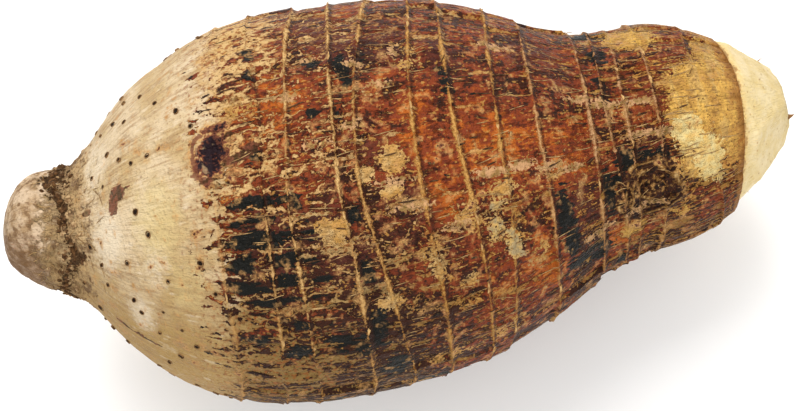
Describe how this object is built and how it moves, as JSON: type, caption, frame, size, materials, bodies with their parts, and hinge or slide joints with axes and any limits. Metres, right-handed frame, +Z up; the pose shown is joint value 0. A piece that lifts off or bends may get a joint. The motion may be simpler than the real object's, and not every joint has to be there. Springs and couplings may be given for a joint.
{
  "type": "taro root",
  "caption": "Whole taro corm lying on its side: a fat ringed body with a round broken-off knob at one end and a thick neck trimmed to a blunt point at the other.",
  "frame": {"origin": "on the surface that the corm lies on, under the middle of its box", "axes": "+X runs along the corm from the broken-off knob to the trimmed neck, +Z is up"},
  "size_m": [0.2342, 0.1137, 0.1133],
  "materials": {
    "corm_skin": "matt, fibrous skin with leaf scars, pale shoulder and cut flesh"
  },
  "bodies": {
    "root": {"taro_corm": "corm_skin"}
  },
  "joints": []
}
